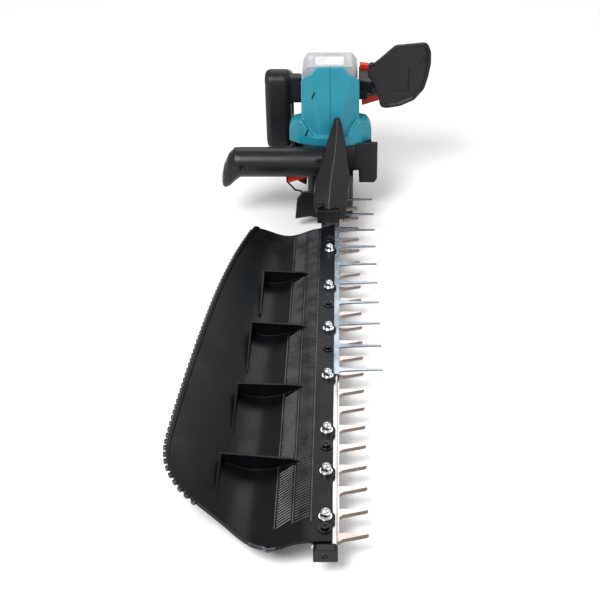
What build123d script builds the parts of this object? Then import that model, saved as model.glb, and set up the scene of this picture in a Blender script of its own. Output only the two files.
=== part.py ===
from build123d import *
import math
import os

# Single-sided cordless hedge trimmer with a chip tray, in millimetres.
# +X is the tooth side, +Y runs from the blade tip to the battery, +Z is up.
# The origin is on the flat underside of the gear case.

# ---- driving dimensions ----
WALL = 2.8                  # moulded shell thickness
RUN = 0.05                  # radial clearance of running fits
GAP = 0.4                   # clearance between pieces that move past each other
TOOTH_PITCH = 28.0
TOOTH_COUNT = 22
FIRST_TOOTH_Y = -640.0
TOOTH_TIP_X = 36.0
SPINE_X = (-9.0, 11.5)
BLADE_T = 2.0
LOWER_BLADE_Z = 19.9
UPPER_BLADE_Z = 22.0
STROKE = 7.0                # travel of each blade either way from the middle
BAR_Z = (24.1, 28.1)
BAR_END_Y = -657.0
COMB_Z = (28.1, 29.6)
COMB_PITCH = 42.0
COMB_COUNT = 10
COMB_FIRST_Y = -418.0
COMB_TIP_X = 55.0
FLANGE_Z = (29.6, 32.1)
NUT_Y = (-629.0, -573.0, -517.0, -433.0, -349.0, -265.0, -181.0)
NOSE_BOLT_Y = (-96.0, -68.0)
TRAY_SCREW_Y = (-642.0, -539.0, -385.0, -301.0, -154.0)
BOLT_R = 2.5
CRANK_Y = 8.0
GEAR_MODULE = 1.2
CRANK_TEETH = 42
PINION_TEETH = 12
MOTOR_Y = CRANK_Y + GEAR_MODULE * (CRANK_TEETH + PINION_TEETH) / 2
PIN_R = 7.0                 # crank pin radius
CASE_HALF_X = 29.5
CASE_Y = (-34.0, 62.0)
CASE_TOP_Z = 58.0
HOUSING_BASE_Z = 95.0
HOUSING_TOP_Z = 198.0       # front edge of the roof, which falls backwards
ROOF_FALL = 0.3837          # drop of the roof per millimetre of depth
HOUSING_BACK_Y = 73.0
FRONT_BAR = (-40.0, 82.0)   # y and z of the front handle's axis
FRONT_BAR_R = 19.0
FRONT_BAR_X = (-115.0, -8.0)
REAR_BAR = (92.0, 141.0)    # y and z of the right handle's axis
REAR_BAR_R = 20.0
REAR_BAR_X = (38.0, 116.0)
LOOP_X = (-86.5, -52.5)
BATTERY_Y = (77.0, 132.0)
BATTERY_X = (-38.0, 36.0)
BATTERY_TOP_Z = 167.5


# ---- shared shapes ----
def block(x, y, z):
    """A box between two x, two y and two z values."""
    low = Pos((x[0] + x[1]) / 2, (y[0] + y[1]) / 2, (z[0] + z[1]) / 2)
    return low * Box(x[1] - x[0], y[1] - y[0], z[1] - z[0])


def rod(start, end, radius):
    """A round bar from one point to another."""
    path = Vector(*end) - Vector(*start)
    seat = Plane(origin=start, z_dir=path)
    return seat * Cylinder(radius, path.length, align=(Align.CENTER, Align.CENTER, Align.MIN))


def upright(x, y, z, radius):
    """A vertical cylinder between two heights."""
    return rod((x, y, z[0]), (x, y, z[1]), radius)


def prism(points, axis, low, high, radius=0.0):
    """A polygon pushed along an axis; its corners are rounded when a radius is given."""
    spot = {"x": lambda a, b: (low, a, b), "y": lambda a, b: (a, low, b), "z": lambda a, b: (a, b, low)}
    way = {"x": (1, 0, 0), "y": (0, 1, 0), "z": (0, 0, 1)}[axis]
    corners = [spot[axis](a, b) for a, b in points]
    line = Polyline(*corners, close=True)
    if radius:
        line = FilletPolyline(*corners, radius=radius, close=True)
    return extrude(make_face(line.edges()), amount=high - low, dir=way)


def hexagon(y, z, across, x=0.0):
    """An upright hexagonal prism, given its width across flats."""
    ring = RegularPolygon(across / 2, 6, major_radius=False)
    return Pos(x, y, z[0]) * extrude(ring, amount=z[1] - z[0])


def screw(head, tip, radius=1.9, head_radius=3.6, head_length=2.6, spare=0.0):
    """A pan-head screw; a positive spare gives the hole that it sits in."""
    start, end = Vector(*head), Vector(*tip)
    way = (end - start).normalized()
    shank = rod(tuple(start), tuple(end + way * spare), radius + spare)
    cap = rod(tuple(start), tuple(start + way * head_length), head_radius + spare)
    if spare:
        return shank + cap + rod(tuple(start - way * 30), tuple(start), head_radius + spare)
    slot = rod(tuple(start - way * 0.1), tuple(start + way * 1.4), radius * 0.75)
    return shank + cap - slot


def group(solids):
    """Separate solids of one node."""
    return Compound(children=list(solids))


def largest(shape):
    """The biggest solid of a cut shape, without the crumbs that a cut leaves."""
    return shape.solids().sort_by(SortBy.VOLUME)[-1]


def inset_prism(points, axis, low, high, inset):
    """A prism whose outline is moved inwards by an inset, or outwards when that is negative."""
    end = {"x": Axis.X, "y": Axis.Y, "z": Axis.Z}[axis]
    way = {"x": (1, 0, 0), "y": (0, 1, 0), "z": (0, 0, 1)}[axis]
    flat = prism(points, axis, low, low + 1.0).faces().sort_by(end)[0]
    if inset:
        flat = offset(Face(flat.outer_wire()), amount=-inset, kind=Kind.INTERSECTION)
    return extrude(flat, amount=high - low, dir=way)


def gear(teeth, centre, z, bore, turn=0.0):
    """A spur gear with straight-flanked teeth and running backlash."""
    pitch_r = GEAR_MODULE * teeth / 2
    root_r = pitch_r - 1.25 * GEAR_MODULE
    tip_r = pitch_r + 0.8 * GEAR_MODULE
    step = 2 * math.pi / teeth
    widths = ((root_r, 0.32), (pitch_r, 0.22), (tip_r, 0.12))
    points = []
    for tooth in range(teeth):
        middle = turn + tooth * step
        points += [(r, middle - w * step) for r, w in widths]
        points += [(r, middle + w * step) for r, w in reversed(widths)]
    outline = [(centre[0] + r * math.cos(a), centre[1] + r * math.sin(a)) for r, a in points]
    return prism(outline, "z", z[0], z[1]) - upright(*centre, (z[0] - 1, z[1] + 1), bore)


# ---- blades ----
def tooth_outline(y, inset):
    """One cutter tooth: square far flank, raked near flank, clipped tip."""
    tip = TOOTH_TIP_X - inset / 2
    return [
        (8.0, y + 3.0 - inset),
        (tip - 1.6, y + 3.0 - inset),
        (tip, y + 1.4 - inset / 2),
        (tip, y - 1.6 + inset / 2),
        (tip - 1.6, y - 3.2 + inset),
        (SPINE_X[1] + 3.0, y - 8.4 + inset),
        (SPINE_X[1] + 0.4, y - 10.8 + inset),
        (8.0, y - 10.8 + inset),
    ]


def shear_blade(base_z, ground_up):
    """A toothed steel strip; the teeth are ground to a bevel on the outer face."""
    back_y = -20.0
    spine = block(SPINE_X, (BAR_END_Y + 8.0, back_y), (base_z, base_z + BLADE_T))
    spine -= block((7.5, 20.0), (-40.0, 0.0), (base_z - 1, base_z + BLADE_T + 1))
    flat_z, ground_z = (base_z, base_z + BLADE_T) if ground_up else (base_z + BLADE_T, base_z)
    for number in range(TOOTH_COUNT):
        y = FIRST_TOOTH_Y + number * TOOTH_PITCH
        full = make_face(Polyline(*[(a, b, flat_z) for a, b in tooth_outline(y, 0.0)], close=True).edges())
        ground = make_face(Polyline(*[(a, b, ground_z) for a, b in tooth_outline(y, 2.1)], close=True).edges())
        spine += loft([full, ground], ruled=True)
    slot_r = BOLT_R + 0.6
    for y in NUT_Y + NOSE_BOLT_Y:
        for end in (-STROKE, STROKE):
            spine -= upright(0, y + end, (base_z - 1, base_z + BLADE_T + 1), slot_r)
        spine -= block((-slot_r, slot_r), (y - STROKE, y + STROKE), (base_z - 1, base_z + BLADE_T + 1))
    for y in (-36.0, -25.0):
        spine -= upright(0, y, (base_z - 1, base_z + BLADE_T + 1), 2.0)
    return spine


def yoke(z):
    """The frame at a blade's root that the crank pin strokes; its window clears the pin all round."""
    window_x = 2 * PIN_R + 1.0
    window_y = 2 * PIN_R + STROKE + 1.0
    ring = block((-19.0, 19.0), (CRANK_Y - 26.0, CRANK_Y + 26.0), z)
    ring = fillet(ring.edges().filter_by(Axis.Z), 6.0)
    ring -= block((-window_x, window_x), (CRANK_Y - window_y, CRANK_Y + window_y), (z[0] - 1, z[1] + 1))
    ring += block((-7.0, 7.0), (-40.0, CRANK_Y - window_y), z)
    for y in (-36.0, -25.0):
        ring -= upright(0, y, (z[0] - 1, z[1] + 1), 2.0)
    return ring


def yoke_rivets(z):
    return group(upright(0, y, z, 2.0) for y in (-36.0, -25.0))


def guide_bar():
    bar = block((-11.0, 9.9), (BAR_END_Y, -52.0), BAR_Z)
    for y in NUT_Y + NOSE_BOLT_Y:
        bar -= upright(0, y, (20, 32), BOLT_R + 0.1)
    for y in TRAY_SCREW_Y:
        bar -= upright(0, y, (20, 32), 2.1)
    return chamfer(bar.edges().filter_by(Axis.Y).group_by(Axis.Z)[-1], 0.8)


def comb_plate():
    """Zinc-plated plate with long pointed fingers and light lips bent down between them."""
    ends = (COMB_FIRST_Y - 8.0, CASE_Y[0] - 0.5)
    plate = block((-6.0, 11.4), ends, COMB_Z)
    plate += block((10.1, 11.4), (ends[0] + 3.0, ends[1]), (25.6, COMB_Z[1]))
    for number in range(COMB_COUNT):
        y = COMB_FIRST_Y + number * COMB_PITCH
        tip = COMB_TIP_X
        finger = [(9.0, y - 5.5), (9.0, y + 5.0), (14.0, y + 3.0), (24.0, y + 2.0), (tip, y + 1.0),
                  (tip, y - 1.0), (24.0, y - 2.4), (14.0, y - 3.6)]
        plate += prism(finger, "z", *COMB_Z)
    for y in NUT_Y + NOSE_BOLT_Y:
        if y > ends[0]:
            plate -= upright(0, y, (24, 34), BOLT_R + 0.1)
    for y in TRAY_SCREW_Y:
        if y > ends[0]:
            plate -= upright(0, y, (24, 34), 2.1)
    return plate


def flange_spacers():
    """Plain washers that level the tray flange where the comb plate stops."""
    rings = []
    for y in NUT_Y:
        if y < COMB_FIRST_Y - 8.0:
            rings.append(upright(0, y, COMB_Z, 6.0) - upright(0, y, (20, 40), BOLT_R + 0.1))
    for y in TRAY_SCREW_Y:
        if y < COMB_FIRST_Y - 8.0:
            rings.append(upright(0, y, COMB_Z, 5.0) - upright(0, y, (20, 40), 2.1))
    return group(rings)


def blade_bolts():
    bolts = []
    for y in NUT_Y + NOSE_BOLT_Y:
        top = 38.0 if y in NUT_Y else 42.0
        bolts.append(hexagon(y, (14.8, 18.6), 8.0) + upright(0, y, (18.6, top), BOLT_R))
    return group(bolts)


def blade_washers():
    lift = (18.6, LOWER_BLADE_Z - 0.1)
    return group(upright(0, y, lift, 7.0) - upright(0, y, (10, 30), BOLT_R + 0.1) for y in NUT_Y + NOSE_BOLT_Y)


def acorn_nuts():
    nuts = []
    for y in NUT_Y:
        base = hexagon(y, (FLANGE_Z[1], 36.0), 9.5) & Pos(0, y, 30.0) * Cone(12.0, 2.6, 12.0)
        dome = Pos(0, y, 37.0) * Sphere(4.2) + upright(0, y, (35.0, 37.0), 4.2)
        collar = upright(0, y, (FLANGE_Z[1], 33.1), 5.6)
        nuts.append(base + dome + collar - upright(0, y, (30, 38.0), BOLT_R))
    return group(nuts)


def tray_screws():
    return group(screw((0, y, 35.6), (0, y, 25.0), 2.0, 3.6, 2.4) for y in TRAY_SCREW_Y)


def tray_washers():
    seat = (FLANGE_Z[1], 33.2)
    return group(upright(0, y, seat, 6.0) - upright(0, y, (20, 40), 2.1) for y in TRAY_SCREW_Y)


def tip_guard():
    """Moulded block that caps the end of the bar."""
    cap = block((-9.6, 10.6), (-666.0, BAR_END_Y), (18.0, 30.4))
    cap = fillet(cap.edges().filter_by(Axis.Y).group_by(Axis.Z)[-1], 3.5)
    cap -= block((-20, 20), (BAR_END_Y - 1.5, BAR_END_Y + 1), (19.7, 24.0))
    return cap - screw((0, -665.0, 24.4), (0, BAR_END_Y - 1.0, 24.4), 1.5, 2.6, 1.6, spare=0.1)


def tip_guard_screw():
    return screw((0, -665.0, 24.4), (0, BAR_END_Y - 1.0, 24.4), 1.5, 2.6, 1.6)


# ---- chip tray ----
def tray_curve(drop):
    """The tray's cross line: flat flange, shallow trough, outer panel that rises away."""
    high = FLANGE_Z[1] - drop
    flat = Line((6.0, high), (-12.0, high))
    dish = Spline((-12.0, high), (-38.0, high - 7.6), (-68.0, high - 14.6), (-96.0, high - 6.4),
                  (-152.0, high + 13.5), tangents=[(-1, 0), (-1, 0.30)])
    return flat, dish


def tray_band(drop_top, drop_bottom):
    """The space between two copies of the cross line, as long as the tray."""
    flat_a, dish_a = tray_curve(drop_top)
    flat_b, dish_b = tray_curve(drop_bottom)
    ends = Line(flat_a @ 0, flat_b @ 0) + Line(dish_a @ 1, dish_b @ 1)
    section = make_face([*flat_a.edges(), *dish_a.edges(), *flat_b.edges(), *dish_b.edges(), *ends.edges()])
    return extrude(Plane.XZ * section, amount=800.0)


def tray_plan():
    """The tray seen from above; long curve on the outer side, straight flange at the bar."""
    outer = Spline((-94.0, -110.0), (-118.0, -244.0), (-133.5, -410.0), (-140.5, -530.0), (-138.0, -570.0),
                   (-121.0, -600.0), (-83.0, -628.0), (-50.0, -653.0), (-27.0, -656.5))
    tip = Line((-27.0, -656.5), (6.0, -656.5))
    inner = Line((6.0, -656.5), (6.0, -113.0))
    head = Spline((6.0, -113.0), (-24.0, -128.0), (-52.0, -122.0), (-75.0, -108.0), (-94.0, -110.0))
    return make_face([*outer.edges(), *tip.edges(), *inner.edges(), *head.edges()])


def rib(left, right, below):
    """A cross wall with a tapering fin at its outer end, standing on the tray."""
    top = FLANGE_Z[1] + 1.4
    slant = (right[1] - left[1]) / (right[0] - left[0])
    wall = prism([(left[0], left[1] - 1), (right[0], right[1] - 1), (right[0], right[1] + 1),
                  (left[0], left[1] + 1)], "z", 10.0, top)
    fin = prism([(left[1] + 1, top), (left[1] + 1, 10.0), (left[1] - 72.0, 10.0), (left[1] - 72.0, top - 12.0)],
                "x", left[0], left[0] + 2.0)
    nose = prism([(right[0] - 22.0, top - 0.2), (right[0] + 1, top - 4.5), (right[0] + 1, top + 5),
                  (right[0] - 22.0, top + 5)], "y", right[1] - 30.0 * abs(slant) - 6, right[1] + 8)
    return wall + fin - nose - below


def chip_tray():
    plan = tray_plan()
    slab = Pos(0, 0, -20) * extrude(plan, amount=120.0)
    inset = (Pos(3.0, 0, 0) * slab) & (Pos(1.5, 2.6, 0) * slab)
    tray = tray_band(0.0, 2.5) & slab
    rim = (tray_band(-2.0, 2.0) & slab) - inset - block((-47.0, 20.0), (-700, 0), (-20, 100))
    rim -= block((-88.0, 20.0), (-140.0, 0), (-20, 100))
    tray += rim
    for y in NUT_Y:
        tray += upright(0, y, FLANGE_Z, 8.2)
    below = tray_band(1.5, 60.0)
    for left, right in (((-76.0, -231.0), (-8.0, -236.5)), ((-82.5, -337.6), (-8.0, -346.0)),
                        ((-88.5, -446.0), (-8.0, -450.5)), ((-95.0, -549.5), (-8.0, -560.5))):
        tray += rib(left, right, below)
    for y in NUT_Y:
        tray -= upright(0, y, (20, 60), BOLT_R + 0.1)
    for y in TRAY_SCREW_Y:
        tray -= upright(0, y, (20, 60), 2.1)
    return tray


# ---- gear case ----
def gear_housing():
    """Cast case: gear chamber, bearing seats, a nose over the bar and an arm for the front handle."""
    case = block((-CASE_HALF_X, CASE_HALF_X), CASE_Y, (8.0, CASE_TOP_Z))
    case = fillet(case.edges().filter_by(Axis.Z), 9.0)
    chamber = block((-26.8, 26.8), (-29.0, 57.0), (7.0, 46.0))
    case -= fillet(chamber.edges().filter_by(Axis.Z), 8.0)
    case -= block((-20.0, 14.0), (-40.0, -20.0), (15.0, 29.9))
    case += block((-16.0, 10.0), (-108.0, -33.5), (29.6, 46.0))
    case += block((-18.0, -6.0), (-49.0, -20.0), (57.5, 95.0))
    case += block((-54.0, -17.0), (-50.0, -30.0), (85.0, 95.0))
    case -= rod((-13.0, -51.0, 89.0), (-13.0, -38.0, 89.0), 2.0)
    case -= upright(0, CRANK_Y, (40.0, 53.0), 11.0)
    case -= upright(0, CRANK_Y, (50.0, 60.0), 6.0)
    case -= upright(0, MOTOR_Y, (40.0, 60.0), 6.0)
    case -= upright(0, MOTOR_Y, (50.0, 60.0), 9.5)
    for y in NOSE_BOLT_Y:
        case -= upright(0, y, (28.0, 42.5), BOLT_R)
    for x, y in COVER_SCREWS:
        case -= upright(x, y, (6.0, 20.0), 2.0)
    for x, y in GUARD_SCREWS:
        case -= upright(x, y, (36.0, 47.0), 2.0)
    return case


COVER_SCREWS = [(x, y) for x in (-24.5, 24.5) for y in (-29.0, 57.0)]
GUARD_SCREWS = [(-11.0, -100.0), (5.5, -80.0)]


def base_cover():
    cover = block((-CASE_HALF_X, CASE_HALF_X), CASE_Y, (0.0, 8.0))
    cover = fillet(cover.edges().filter_by(Axis.Z), 9.0)
    cover -= upright(0, CRANK_Y, (2.0, 9.0), 11.0)
    for x, y in COVER_SCREWS:
        cover -= screw((x, y, 0.6), (x, y, 18.0), 2.0, 3.8, 2.6, spare=0.1)
    return cover


def base_cover_screws():
    return group(screw((x, y, 0.6), (x, y, 18.0), 2.0, 3.8, 2.6) for x, y in COVER_SCREWS)


def crank_shaft():
    """Shaft with two opposed crank pins between round webs."""
    shaft = upright(0, CRANK_Y, (2.4, 15.4), 5.0)
    shaft += upright(0, CRANK_Y, (11.5, 15.4), 15.0)
    shaft += upright(-STROKE, CRANK_Y, (15.4, 20.3), PIN_R)
    shaft += upright(0, CRANK_Y, (20.3, 23.6), 15.0)
    shaft += upright(STROKE, CRANK_Y, (23.6, 28.6), PIN_R)
    shaft += upright(0, CRANK_Y, (28.6, 32.6), 15.0)
    shaft += upright(0, CRANK_Y, (32.6, 52.8), 5.0)
    return shaft


def ball_bearing(x, y, z, bore, outer):
    """Outer ring, inner ring and a ring of balls in a groove, as fixed solids."""
    width = z[1] - z[0]
    middle = (bore + outer) / 2
    ball = min(0.30 * (outer - bore), 0.36 * width)
    ring = upright(x, y, z, outer) - upright(x, y, (z[0] - 1, z[1] + 1), middle + 0.55 * ball)
    inner = upright(x, y, z, middle - 0.55 * ball) - upright(x, y, (z[0] - 1, z[1] + 1), bore)
    groove = Pos(x, y, sum(z) / 2) * Torus(middle, ball + 0.05)
    solids = [ring - groove, inner - groove]
    for number in range(7):
        angle = 2 * math.pi * number / 7
        spot = Pos(x + middle * math.cos(angle), y + middle * math.sin(angle), sum(z) / 2)
        solids.append(spot * Sphere(ball))
    return solids


def crank_bearings():
    lower = ball_bearing(0, CRANK_Y, (2.2, 8.2), 5.0 + RUN, 11.0)
    upper = ball_bearing(0, CRANK_Y, (47.0, 53.0), 5.0 + RUN, 11.0)
    return group(lower + upper)


# ---- motor ----
def rotor_shaft():
    shaft = upright(0, MOTOR_Y, (33.0, 158.0), 4.0)
    return shaft + gear(PINION_TEETH, (0, MOTOR_Y), (34.0, 44.0), 3.0, turn=math.pi / 2)


def rotor_core():
    core = upright(0, MOTOR_Y, (104.0, 140.0), 14.6)
    for number in range(8):
        angle = math.pi * number / 4
        core -= Pos(11.4 * math.cos(angle), MOTOR_Y + 11.4 * math.sin(angle), 122) * Box(4.2, 4.2, 60)
    return core - upright(0, MOTOR_Y, (100, 150), 4.0)


def stator():
    """Laminated ring with six inward teeth."""
    ring = upright(0, MOTOR_Y, (104.0, 140.0), 27.0) - upright(0, MOTOR_Y, (100, 150), 23.0)
    for number in range(6):
        pole = block((14.0, 24.0), (-3.0, 3.0), (104.0, 140.0))
        pole += block((14.0, 17.5), (-6.0, 6.0), (104.0, 140.0))
        ring += Pos(0, MOTOR_Y, 0) * Rot(0, 0, 60 * number) * pole
    return ring - upright(0, MOTOR_Y, (100, 150), 15.2)


def stator_windings():
    """One copper coil round each stator tooth."""
    coils = []
    for number in range(6):
        coil = block((17.8, 22.0), (-6.0, 6.0), (100.5, 143.5)) - block((10, 30), (-3.1, 3.1), (103.9, 140.1))
        coils.append(Pos(0, MOTOR_Y, 0) * Rot(0, 0, 60 * number) * coil)
    return group(coils)


def cooling_fan():
    hub = upright(0, MOTOR_Y, (82.0, 94.0), 9.0) + upright(0, MOTOR_Y, (82.0, 83.6), 23.0)
    for number in range(11):
        vane = block((8.0, 23.0), (-0.7, 0.7), (82.0, 94.0))
        hub += Pos(0, MOTOR_Y, 0) * Rot(0, 0, 360 * number / 11) * vane
    return hub - upright(0, MOTOR_Y, (80, 96), 4.0)


def rotor_bearings():
    lower = ball_bearing(0, MOTOR_Y, (50.0, 57.0), 4.0 + RUN, 9.5)
    upper = ball_bearing(0, MOTOR_Y, (150.0, 157.0), 4.0 + RUN, 9.5)
    return group(lower + upper)


# ---- motor housing ----
def housing_form(inset):
    """The faceted outer form of the motor housing; an inset gives the hollow inside it."""
    back = HOUSING_BACK_Y
    plan = [(-13, -20), (13, -20), (37, -7), (37, back), (-37, back), (-37, -7)]
    side = [(-22, 60), (back, 60), (back, 240), (-13, 240), (-13, HOUSING_TOP_Z), (-14, 178), (-20, 130)]
    upper = inset_prism(plan, "z", 40, 240, inset) & inset_prism(side, "x", -60, 60, inset)
    upper &= sloping_roof(inset)
    wing_plan = [(-16, -23), (16, -23), (40, -14), (53, -3), (53, 14), (-53, 14), (-53, -3), (-40, -14)]
    wing_front = [(-53, 60), (53, 60), (53, 112), (51, 119), (46, 125.5), (36, 127), (22, 108), (-22, 108),
                  (-36, 127), (-46, 125.5), (-51, 119), (-53, 112)]
    wing = inset_prism(wing_plan, "z", 40, 220, inset) & inset_prism(wing_front, "y", -40, 90, inset)
    return upper + wing


def sloping_roof(inset):
    """A narrow ridge between hollow shoulders, drawn backwards and down at the roof's slope."""
    right = [(16.5, 0.0), (18.2, -2.5), (23.0, -9.5), (30.0, -12.5), (35.5, -16.0), (37.5, -20.0), (37.5, -190.0)]
    half = [(x, HOUSING_TOP_Z + 27 * ROOF_FALL + drop) for x, drop in right]
    profile = half + [(-x, z) for x, z in reversed(half)]
    front = prism(profile, "y", -40.0, -39.0).faces().sort_by(Axis.Y)[0]
    if inset:
        front = offset(Face(front.outer_wire()), amount=-inset, kind=Kind.INTERSECTION)
    return extrude(front, amount=135.0, dir=(0.0, 1.0, -ROOF_FALL))


def housing_shell():
    """Both halves of the motor housing with their inner webs, before they are parted."""
    outer = housing_form(0.0) - block((-90, 90), (-60, 120), (0, HOUSING_BASE_Z))
    hollow = housing_form(WALL)
    webs = block((-60, 60), (-40, 90), (106.0, 110.0)) + block((-60, 60), (-40, 90), (132.0, 136.0))
    webs += block((-60, 60), (10, 90), (148.0, 158.5))
    keep = hollow - webs
    keep += upright(0, MOTOR_Y, (100, 145), 27.1) & hollow
    keep += upright(0, MOTOR_Y, (140, 150), 14.0)
    keep += upright(0, MOTOR_Y, (150.0, 157.0), 9.5) + upright(0, MOTOR_Y, (149.0, 159.5), 6.0)
    keep += block((-24, 24), (-40, 10), (100, 162)) & hollow
    shell = outer - keep
    shell += block((-8, 8), (HOUSING_BACK_Y - 0.5, BATTERY_Y[0] - 0.6), (100, 160))
    for x, y, z in housing_screw_places():
        shell += rod((x + 0.5, y, z), (-x - 0.5, y, z), 4.2) & housing_form(0.5)
        shell -= screw((x, y, z), (25, y, z), 1.9, 3.6, 2.6, spare=0.1)
    return shell


def housing_screw_places():
    """Heads of the screws that clamp the two halves, on the left shell."""
    return [(-36.0, -2.0, 168.0), (-36.0, 68.0, 145.0), (-51.5, 4.0, 106.0), (-36.0, 68.0, 99.6)]


def housing_half(shell, side):
    x = (-80, 0) if side == "left" else (0, 80)
    return largest(shell & block(x, (-60, 120), (60, 240)))


def housing_screws():
    return group(screw((x, y, z), (24, y, z)) for x, y, z in housing_screw_places())


def lower_shroud():
    """Moulded skirt between gear case and motor housing, with a pod down each side."""
    plan = [(-15, -21), (15, -21), (38, -13), (52, 0), (52, 50), (36, 70), (-36, 70), (-52, 50),
            (-52, 0), (-38, -13)]
    skirt = prism(plan, "z", CASE_TOP_Z, HOUSING_BASE_Z)
    right = [(37.3, 42), (57, 42), (61, 47), (61, 99), (31, 97), (31, 61), (37.3, 63)]
    left = [(-31, 38), (-42, 44), (-53, 58), (-53, 90), (-31, 90)]
    skirt += prism(right, "y", -18.0, 9.0)
    skirt += prism(left, "y", -18.0, 9.0)
    inner_plan = [(-14, -18), (14, -18), (36, -10), (49, 1), (49, 48), (34, 66), (-34, 66), (-49, 48),
                  (-49, 1), (-36, -10)]
    skirt -= prism(inner_plan, "z", CASE_TOP_Z + 3, HOUSING_BASE_Z + 10)
    skirt -= prism([(40, 45), (56, 45), (58, 49), (58, 76), (34, 76), (34, 66), (40, 66)], "y", -15.0, 6.0)
    skirt -= prism([(-15.0, 99.5), (12.0, 78.5), (12.0, 120.0), (-15.0, 120.0)], "x", 53.2, 70.0)
    skirt -= prism([(-34, 43), (-41, 47), (-50, 60), (-50, 92), (-34, 92)], "y", -15.0, 6.0)
    skirt -= upright(0, MOTOR_Y, (50, 70), 12.0)
    skirt -= block((-CASE_HALF_X - 0.1, CASE_HALF_X + 0.1), (CASE_Y[0] - 1, CASE_Y[1] + 0.1), (30, CASE_TOP_Z))
    skirt -= block((-18.2, -5.8), (-50, -19.8), (57, 96))
    for number in range(3):
        skirt -= block((56, 66), (-13 + 7 * number, -9.5 + 7 * number), (54, 74))
        skirt -= block((-56, -48), (-13 + 7 * number, -9.5 + 7 * number), (64, 86))
    return largest(skirt - housing_form(0.0) & block((-90, 90), (-60, 90), (20, 110)))


def controller():
    """Potted motor controller behind the front wall."""
    return fillet(block((-15, 15), (-13, 1), (112, 130)).edges().filter_by(Axis.Y), 2.0)


def terminal_block():
    """Battery terminals on the back of the housing, between the rails."""
    body = block((-8, 8), (HOUSING_BACK_Y + 3.4, HOUSING_BACK_Y + 9.0), (80, 98))
    return body


# ---- front guard ----
def guard_layers(thin):
    """Corner points of the upright guard at each height: ridge, right, back right, back left, left."""
    layers = (
        (34.0, (-2, -112), (18, -105), (20, -62), (-16, -62), (-16, -104)),
        (48.0, (-1, -104), (22, -92), (24, -58), (-21, -58), (-21, -93)),
        (72.0, (1, -83), (24, -69), (24, -50), (-18, -50), (-18, -71)),
        (103.0, (7, -57), (20, -47), (20, -36), (-5, -36), (-7, -48)),
        (126.0, (9, -38), (15, -31), (15, -25.5), (3, -25.5), (2, -32)),
        (136.0, (9, -30), (12, -27), (12, -24.5), (6, -24.5), (5, -28)),
    )
    if not thin:
        return layers
    inner = []
    for z, ridge, right, back_right, back_left, left in layers[:5]:
        inner.append((z - 3.0, (ridge[0], ridge[1] + 5), (right[0] - 3, right[1] + 3),
                      (back_right[0] - 3, back_right[1] + 1), (back_left[0] + 3, back_left[1] + 1),
                      (left[0] + 3, left[1] + 3)))
    return inner


def guard_solid(thin):
    faces = []
    for z, *corners in guard_layers(thin):
        faces.append(make_face(Polyline(*[(x, y, z) for x, y in corners], close=True).edges()))
    return loft(faces, ruled=True)


def front_guard():
    """The prow that keeps the front hand off the blades, with a side wing."""
    guard = guard_solid(False) - guard_solid(True)
    wing = [(-17.0, 50.6), (-34.8, 50.6), (-42.6, 40.7), (-45.5, 12.0), (-17.3, 17.0)]
    guard += prism(wing, "y", -63.0, -60.0)
    guard += block((-15.9, 9.9), (-100.0, -64.0), (46.0, 49.0))
    guard -= block((-16.2, 10.2), (-109, -33), (29, 46.0))
    guard -= block((-56.0, -5.7), (-50.4, -19.0), (57, 120))
    guard -= rod((-140, *FRONT_BAR), (-7.5, *FRONT_BAR), FRONT_BAR_R + 0.4)
    guard -= block((-60, 60), (-23.5, 20), (90, 150))
    for x, y in GUARD_SCREWS:
        hole = screw((x, y, 51.6), (x, y, 37.0), 2.0, 3.6, 2.6, spare=0.1)
        guard -= hole - block((-60, 60), (-140, 0), (51.7, 120))
    return largest(guard)


def front_guard_screws():
    return group(screw((x, y, 51.6), (x, y, 37.0), 2.0, 3.6, 2.6) for x, y in GUARD_SCREWS)


# ---- front handle ----
def front_handle_form(inset):
    """The round grip and its outer end, which swells and droops; x, z, half height and half depth."""
    y, z = FRONT_BAR
    start, end = FRONT_BAR_X
    sections = [(start, z, 19.0, 19.0), (-121.0, 79.5, 21.5, 18.5), (-129.0, 71.5, 21.5, 16.5),
                (-135.5, 63.0, 16.0, 12.0), (-138.5, 57.5, 8.0, 7.0)]
    if inset:
        sections = [(start, z, 19.0, 19.0), (-121.0, 79.5, 21.0, 18.0), (-129.5, 70.5, 18.5, 15.0)]
    rings = []
    for x, centre, half_height, half_depth in sections:
        seat = Plane(origin=(x, y, centre), x_dir=(0, 1, 0), z_dir=(-1, 0, 0))
        rings.append(seat * Ellipse(half_depth - inset, half_height - inset))
    bar = extrude(rings[0], amount=end - 5 * inset - start, dir=(1, 0, 0))
    return bar + loft(rings, ruled=True)


def front_handle_halves():
    """Two clamshells round the handle's core, with a slot below for the switch lever."""
    y, z = FRONT_BAR
    form = front_handle_form(0.0) - front_handle_form(3.0)
    form += rod((-110, y - 17, z), (-110, y + 17, z), 4.5)
    form -= block((-60.5, -21.5), (y - 6.6, y + 6.6), (50, 72))
    form -= block((-54.1, -16), (y - 10.1, y + 10.1), (84.9, 95.1))
    form -= block((-18.4, 0), (-49.4, -19.6), (40, 95.4))
    for x, head_y, tip_y, screw_z in FRONT_HANDLE_SCREWS:
        form -= screw((x, head_y, screw_z), (x, tip_y, screw_z), 1.9, 3.6, 2.6, spare=0.1)
    form -= rod((-28, y - 12, 74), (-28, y + 12, 74), 1.6)
    front = form & block((-160, 0), (y - 30, y), (30, 120))
    rear = form & block((-160, 0), (y, y + 30), (30, 120))
    return front, rear


FRONT_HANDLE_SCREWS = [(-110.0, -57.5, -29.0, 82.0), (-13.0, -56.5, -40.0, 89.0)]


def front_handle_screws():
    return group(screw((x, head_y, z), (x, tip_y, z)) for x, head_y, tip_y, z in FRONT_HANDLE_SCREWS)


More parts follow.
